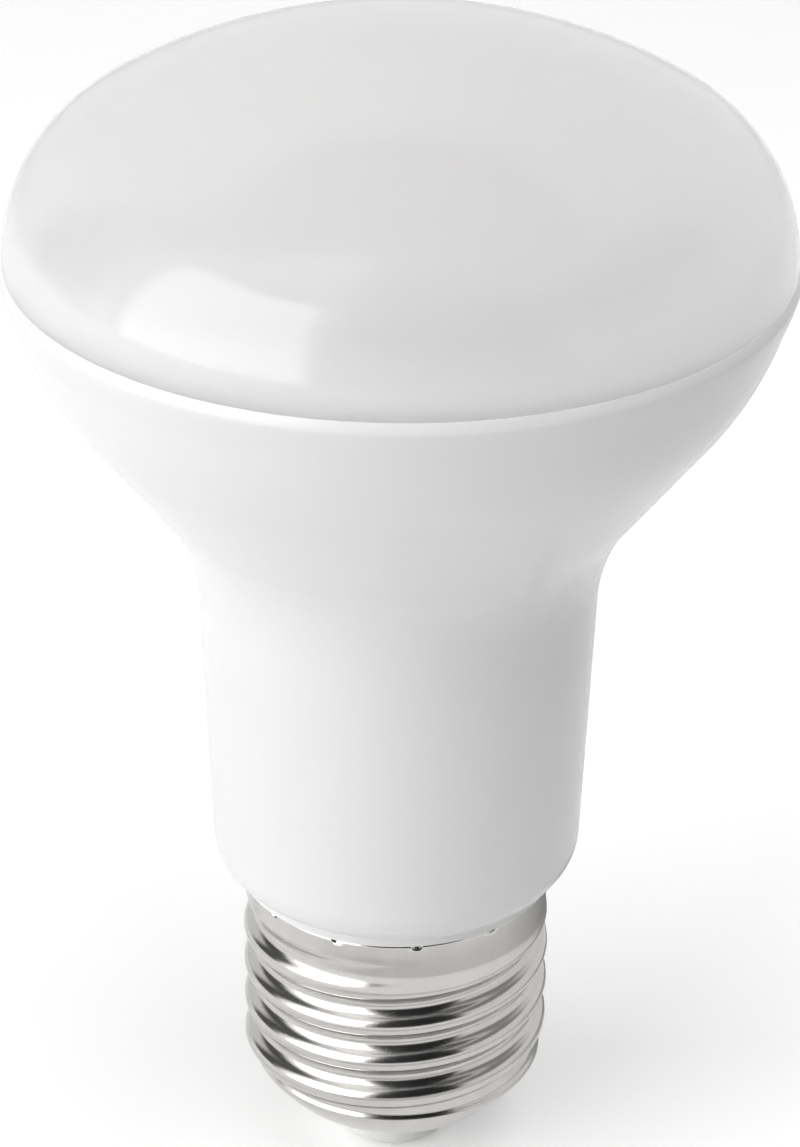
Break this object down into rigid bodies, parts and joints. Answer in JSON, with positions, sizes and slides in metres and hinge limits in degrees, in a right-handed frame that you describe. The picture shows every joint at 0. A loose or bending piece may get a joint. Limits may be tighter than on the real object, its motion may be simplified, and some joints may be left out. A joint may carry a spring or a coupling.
{
  "type": "reflector lamp",
  "caption": "Reflector lamp with an opal domed diffuser, a flared white housing with a long neck, and a nickel-plated screw cap.",
  "frame": {"origin": "centre of the centre contact's flat end, where the screw cap seats in a holder", "axes": "+Z along the lamp's axis from the contact to the diffuser, -Y towards the viewer, +X to the viewer's right"},
  "size_m": [0.063, 0.063, 0.1015],
  "materials": {
    "opal_plastic": "satin opal polycarbonate",
    "white_housing": "glossy white moulding",
    "nickel": "bright nickel plate with fine drawing marks",
    "white_insulator": "white moulded insulator",
    "contact_metal": "plain brass",
    "aluminium": "plain pressed sheet",
    "board_white": "white solder mask on a metal core",
    "led_package": "white frame with yellow phosphor",
    "steel": "zinc-plated",
    "connector_plastic": "moulded",
    "board_green": "glass-fibre board with green solder mask",
    "tinned_pin": "tinned",
    "capacitor_sleeve": "shrunk sleeve over an aluminium can",
    "ferrite": "ground ferrite",
    "black_plastic": "moulded epoxy",
    "winding_tape": "yellow tape over enamelled wire",
    "film_case": "dipped case",
    "resistor_coat": "flameproof coat",
    "lead_insulation": "silicone insulation"
  },
  "bodies": {
    "root": {"diffuser": "opal_plastic", "housing": "white_housing", "cap_shell": "nickel", "cap_insulator": "white_insulator", "centre_contact": "contact_metal", "heat_sink": "aluminium", "led_board": "board_white", "led_01": "led_package", "led_02": "led_package", "led_03": "led_package", "led_04": "led_package", "led_05": "led_package", "led_06": "led_package", "led_07": "led_package", "led_08": "led_package", "led_09": "led_package", "led_10": "led_package", "led_11": "led_package", "led_12": "led_package", "board_screws": "steel", "board_connector": "connector_plastic", "driver_board": "board_green", "output_pins": "tinned_pin", "input_capacitor": "capacitor_sleeve", "output_capacitor": "capacitor_sleeve", "transformer_core": "ferrite", "transformer_bobbin": "black_plastic", "transformer_winding": "winding_tape", "film_capacitor": "film_case", "driver_chip": "black_plastic", "bridge_rectifier": "black_plastic", "output_diode": "black_plastic", "sense_resistor": "black_plastic", "fuse_resistor": "resistor_coat", "live_lead": "lead_insulation", "neutral_lead": "lead_insulation"}
  },
  "joints": []
}
